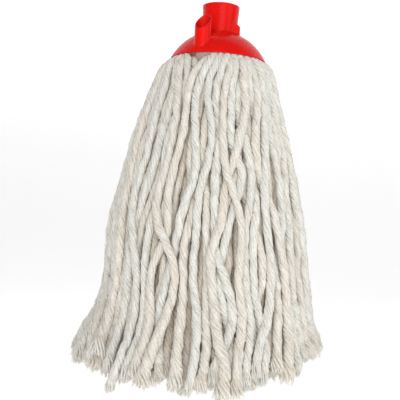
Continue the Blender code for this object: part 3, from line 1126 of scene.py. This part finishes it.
def add_lobed_tube(parts, points, axes, press, turn, girth, depth, proud, points_per_ply, look):
    """A tube whose section has one lobe per ply, turned as it goes, with closed ends.

    press flattens it sideways and outwards, depth is how deep its grooves are, proud is from ply_waves.
    """
    sideways, outward = axes
    sides = PLIES * points_per_ply
    around = 2 * math.pi * np.arange(sides) / sides
    along = distances(points)
    lobe = np.abs(np.cos(0.5 * PLIES * around))
    own_ply = np.roll(np.repeat(proud, points_per_ply, axis=0), -(points_per_ply // 2), axis=0).T
    phase = look["phases"]
    column = along[:, None]
    unlike = GROOVE_WAVE[0] * np.sin(2 * around + column / GROOVE_WAVE[1] + phase[0])
    section = 1.0 - depth[:, None] * (1.0 + unlike) * (1.0 - lobe ** LOBE_SHARPNESS)
    radii = girth[:, None] * section * (1.0 + own_ply * lobe)
    (most, longest), (least, shortest) = CROWDING_WAVES
    crowd = most * np.sin(around + column / longest + phase[1])
    crowd = crowd + least * np.sin(2 * around - column / shortest + phase[2])
    angle = around + turn[:, None] + crowd
    side_part = (np.cos(angle) * radii * press[:, 0:1])[:, :, None] * sideways[:, None, :]
    out_part = (np.sin(angle) * radii * press[:, 1:2])[:, :, None] * outward[:, None, :]
    surface = points[:, None, :] + side_part + out_part
    rings = len(points)
    fibre = np.empty_like(surface)
    lay = around + FIBRE_LAY * turn[:, None]
    fibre[:, :, 0] = np.cos(lay) * YARN_RADIUS
    fibre[:, :, 1] = np.sin(lay) * YARN_RADIUS
    fibre[:, :, 2] = along[:, None]
    # Painted shade, in the grooves between plies and deeper inside the skirt
    groove = ((1.0 - lobe) * (GROOVE_PAINTED_SHADE + GROOVE_PAINTED_SHADE_VARIETY * unlike)).ravel()
    inside = np.broadcast_to(look["inside"][:rings, None], (rings, sides)).ravel()
    first = parts.count
    place = fibre.reshape(-1, 3) + look["offset"]
    parts.add(surface.reshape(-1, 3), tube_faces(rings, sides), groove, inside, look["tint"], place)
    parts.add(points[[0, -1]], None, END_PAINTED_SHADE, look["inside"][0], look["tint"], look["offset"])
    last = first + (rings - 1) * sides
    for side in range(sides):
        after = (side + 1) % sides
        parts.faces.append((parts.count - 2, first + side, first + after))
        parts.faces.append((parts.count - 1, last + after, last + side))


def spin_yarn(parts, rows, rng, inside, points_per_ply, outer):
    """One yarn: a lobed, twisted tube whose plies come apart into a brush at the cut end."""
    points = rows[:, :3].copy()
    along = distances(points)
    left = along[-1] - along
    down, sideways, outward = yarn_frames(points)
    wobble = WOBBLE * smooth_step((along - WOBBLE_START) / WOBBLE_GROWTH)
    phases = rng.uniform(0, 2 * math.pi, 4)
    points += sideways * ripple(along, (wobble, WOBBLE_LENGTHS[0]), phases[0])[:, None]
    points += outward * ripple(along, (wobble, WOBBLE_LENGTHS[1]), phases[1])[:, None]

    brush = smooth_step(1.0 - left / BRUSH_LENGTH)
    turn_rate = 2 * math.pi / (TWIST_PITCH * rng.uniform(*TWIST_VARIETY)) * (1.0 - END_UNTWIST * brush)
    turn_rate *= 1.0 + ripple(along, TWIST_WAVES[0], phases[0]) + ripple(along, TWIST_WAVES[1])
    turn = phases[2] + np.concatenate([[0.0], np.cumsum(turn_rate[1:] * np.diff(along))])
    size = SPUN_RADIUS * rng.uniform(*GIRTH_VARIETY)
    girth = size * (1.0 + ripple(along, GIRTH_WAVES[0], phases[3]) + ripple(along, GIRTH_WAVES[1]))
    girth = girth * loosening(points[:, 2], outer)
    taper = 1.0 - END_TAPER * smooth_step(1.0 - (left - BRUSH_CORE_END) / (0.5 * BRUSH_LENGTH))
    look = {"inside": inside, "tint": rng.uniform(), "offset": rng.uniform(-1, 1, 3), "phases": phases}

    body = left > BRUSH_CORE_END
    depth = (GROOVE_DEPTH + END_GROOVES * brush)[body]
    axes = (sideways[body], outward[body])
    proud = ply_waves(rng, along[body])
    core = (girth * taper)[body]
    press = rows[body, 3:5]
    add_lobed_tube(parts, points[body], axes, press, turn[body], core, depth, proud, points_per_ply, look)
    brushing = OUTER_BRUSH if outer else INNER_BRUSH
    add_brush(parts, rng, points, (down, sideways, outward), left, turn, girth[-1], look, brushing)
    return points


def add_brush(parts, rng, points, axes, left, turn, size, look, brushing):
    """The cut end: many strands, apart and spread, each frayed into finer fibres."""
    strands, least, most, furthest = brushing
    down, sideways, outward = axes
    zone = np.nonzero(left < BRUSH_LENGTH)[0]
    share = 1.0 - left[zone] / BRUSH_LENGTH
    lean = rng.normal(size=2) * BRUSH_LEAN
    for strand in range(strands):
        start = size * STRANDS_WITHIN * math.sqrt((strand + 0.5) / strands)
        spread = rng.uniform(least, most)
        reach = start * (1.0 + spread * share**STRAND_FLARE)
        angle = GOLDEN_ANGLE * strand + turn[zone] + rng.normal() * STRAND_STRAY * share
        sway = share * ripple(left[zone], STRAND_WAVE, rng.uniform(0, STRAND_WAVE_START))
        side = np.cos(angle) * reach + lean[0] * share**2 + sway
        out = np.sin(angle) * reach + lean[1] * share**2
        held = np.minimum(1.0, furthest / np.hypot(side, out))
        side, out = side * held, out * held
        centres = points[zone] + sideways[zone] * side[:, None] + outward[zone] * out[:, None]
        extra = rng.uniform(*STRAND_EXTRA) - BRUSH_ROUNDING * (start / size) ** 2
        centres = trim_or_extend(centres, extra, down[-1])
        way = np.linspace(0.0, 1.0, len(centres))
        radii = size / math.sqrt(strands) * rng.uniform(*STRAND_VARIETY) * (1.0 - STRAND_TAPER * way**2)
        radii[0] *= STRAND_ROOT
        radii[-1] *= STRAND_TIP
        # Painted shade, strongest where a strand leaves the yarn, fades to none at its tip, and the yarn's
        # random tint fades with it, so that the tips are painted paler, as light through thin fibres makes
        # them
        shaded = (BRUSH_SHADE + (1.0 - BRUSH_SHADE) * float(look["inside"][-1])) * (1.0 - way)
        tint = look["tint"] * (1.0 - way)
        add_tube(parts, centres, radii, STRAND_SIDES, shaded, tint, look["offset"])
        fray_strand(parts, rng, centres, look["offset"])


def trim_or_extend(centres, extra, direction):
    """A strand made a little shorter or longer at its free end."""
    if extra > 0:
        return np.vstack([centres, centres[-1] + direction * extra])
    lengths = np.linalg.norm(centres - centres[-1], axis=1)
    keep = lengths > -extra
    keep[:4] = True
    return centres[keep]


def fray_strand(parts, rng, centres, offset):
    """Fine fibres that leave a strand's end."""
    tip = centres[-1]
    direction = unit(centres[-1] - centres[-4])
    for _ in range(FRAY_FIBRES):
        away = rng.normal(size=3)
        away = unit(away - direction * (away @ direction))
        length = rng.uniform(*FRAY_LENGTHS)
        t = np.linspace(0.0, 1.0, FRAY_POINTS)[:, None]
        start = tip - direction * FRAY_START + away * FRAY_OFF_CENTRE
        line = start + direction * length * t + away * rng.uniform(*FRAY_SPREAD) * t**FRAY_CURL
        radii = rng.uniform(*FRAY_RADII) * (1.0 - FRAY_TAPER * t[:, 0])
        add_tube(parts, line, radii, FRAY_SIDES, 0.0, 0.0, offset)


def add_fuzz(parts, rng, points, amount):
    """Loose fibres that stand off a yarn's side, away from its two ends."""
    down, sideways, outward = yarn_frames(points)
    t = np.linspace(0.0, 1.0, FUZZ_POINTS)[:, None]
    for _ in range(amount):
        at = rng.integers(FUZZ_CLEAR[0], len(points) - FUZZ_CLEAR[1])
        angle = rng.uniform(0, 2 * math.pi)
        away = sideways[at] * math.cos(angle) + outward[at] * math.sin(angle)
        around = np.cross(down[at], away)
        length = rng.uniform(*FUZZ_LENGTHS)
        stand = rng.uniform(*FUZZ_STAND)
        line = (
            points[at]
            + away * (FUZZ_ROOT + stand * np.sin(math.pi * t * rng.uniform(0.5, 1.0)))
            + down[at] * length * t
            + around * rng.uniform(-FUZZ_SWAY, FUZZ_SWAY) * t**FUZZ_CURL
        )
        radii = np.full(FUZZ_POINTS, FUZZ_RADIUS)
        radii[-1] = FUZZ_TIP_RADIUS
        add_tube(parts, line, radii, FUZZ_SIDES, 0.0, FUZZ_TINT, np.zeros(3))


def inward_painted_shade(rows):
    """Painted shade: from 0 at the skirt's surface to 1 well inside it, and less near the open lower ends.
    """
    open_below = 1.0 - ENDS_LIT * smooth_step((ENDS_LIT_TOP - rows[:, 2]) / ENDS_LIT_LENGTH)
    radius = np.hypot(rows[:, 0], rows[:, 1])
    surface = hanging_radius(rows[:, 2], np.arctan2(rows[:, 1], rows[:, 0]))
    return open_below * smooth_step((surface - radius - SHADE_START) / SHADE_DEPTH)


def make_yarns(materials):
    rng = np.random.default_rng(SEED)
    layout = lay_out(rng)
    bundles = [MeshParts() for _ in range(SECTORS)]
    outer_number = 0
    for index, own in enumerate(layout["outer"]):
        rows = route_of(layout, index)
        parts = MeshParts() if own else bundles[layout["sector"][index]]
        fineness = int(layout["points_per_ply"][index])
        centreline = spin_yarn(parts, rows, rng, inward_painted_shade(rows), fineness, own)
        add_fuzz(parts, rng, centreline, OUTER_FUZZ if own else INNER_FUZZ)
        if own:
            outer_number += 1
            finish_outer_yarn(parts, outer_number, materials[0])
    for sector, parts in enumerate(bundles):
        bundle = parts.build(f"inner_bundle_{sector + 1:02d}", materials[1])
        hang(bundle)
        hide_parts(f"inner_yarns_{sector + 1:02d}")
    make_clamped_roots(layout, materials[1])


def make_clamped_roots(layout, material):
    """The yarns' pressed ends inside the dome, above where each hanging yarn begins."""
    rng = np.random.default_rng(SEED + 1)
    parts = MeshParts()
    for index in range(len(layout["outer"])):
        rows = fine_rows(layout, index)
        rows = rows[rows[:, 2] > YARN_START - TOLERANCE]
        points = rows[:, :3]
        _, sideways, outward = yarn_frames(points)
        count = len(points)
        look = {
            # the roots inside the dome get an even painted shade
            "inside": np.full(count, ROOT_SHADE),
            "tint": rng.uniform(),
            "offset": rng.uniform(-1.0, 1.0, 3),
            "phases": rng.uniform(0, 2 * math.pi, 4),
        }
        turn = np.linspace(0.0, ROOT_TURN, count)
        girth = np.full(count, SPUN_RADIUS)
        depth = np.full(count, GROOVE_DEPTH)
        proud = ply_waves(rng, np.linspace(0.0, CLAMP_TOP - YARN_START, count))
        axes = (sideways, outward)
        press = rows[:, 3:5]
        add_lobed_tube(parts, points, axes, press, turn, girth, depth, proud, ROOT_POINTS_PER_PLY, look)
    roots = parts.build("clamped_roots", material)
    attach(roots, "cap")
    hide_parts("clamped_yarn_roots")


def hang(piece):
    """Bakes a yarn's placement into its mesh."""
    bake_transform(piece)


def finish_outer_yarn(parts, number, material):
    yarn = parts.build(f"yarn_{number:02d}", material)
    hang(yarn)
    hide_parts(f"outer_yarn_{number:02d}")


add_camera()
MATERIALS = (
    cotton("cotton_yarn", (0.915, 0.908, 0.875), (0.905, 0.88, 0.815), (0.85, 0.86, 0.825)),
    # A warmer, tanner copy of the cotton, as painted shade, for the yarns hidden inside the skirt and their
    # clamped roots
    cotton("inner_cotton", (0.92, 0.895, 0.85), (0.92, 0.85, 0.75), (0.87, 0.84, 0.78)),
)
make_yarns(MATERIALS)

make_cap()
make_retainer()

add_stage()
add_world(WORLD_STRENGTH)
for light in LIGHTS:
    add_softbox(*light)

bpy.context.scene.view_settings.view_transform = "Standard"
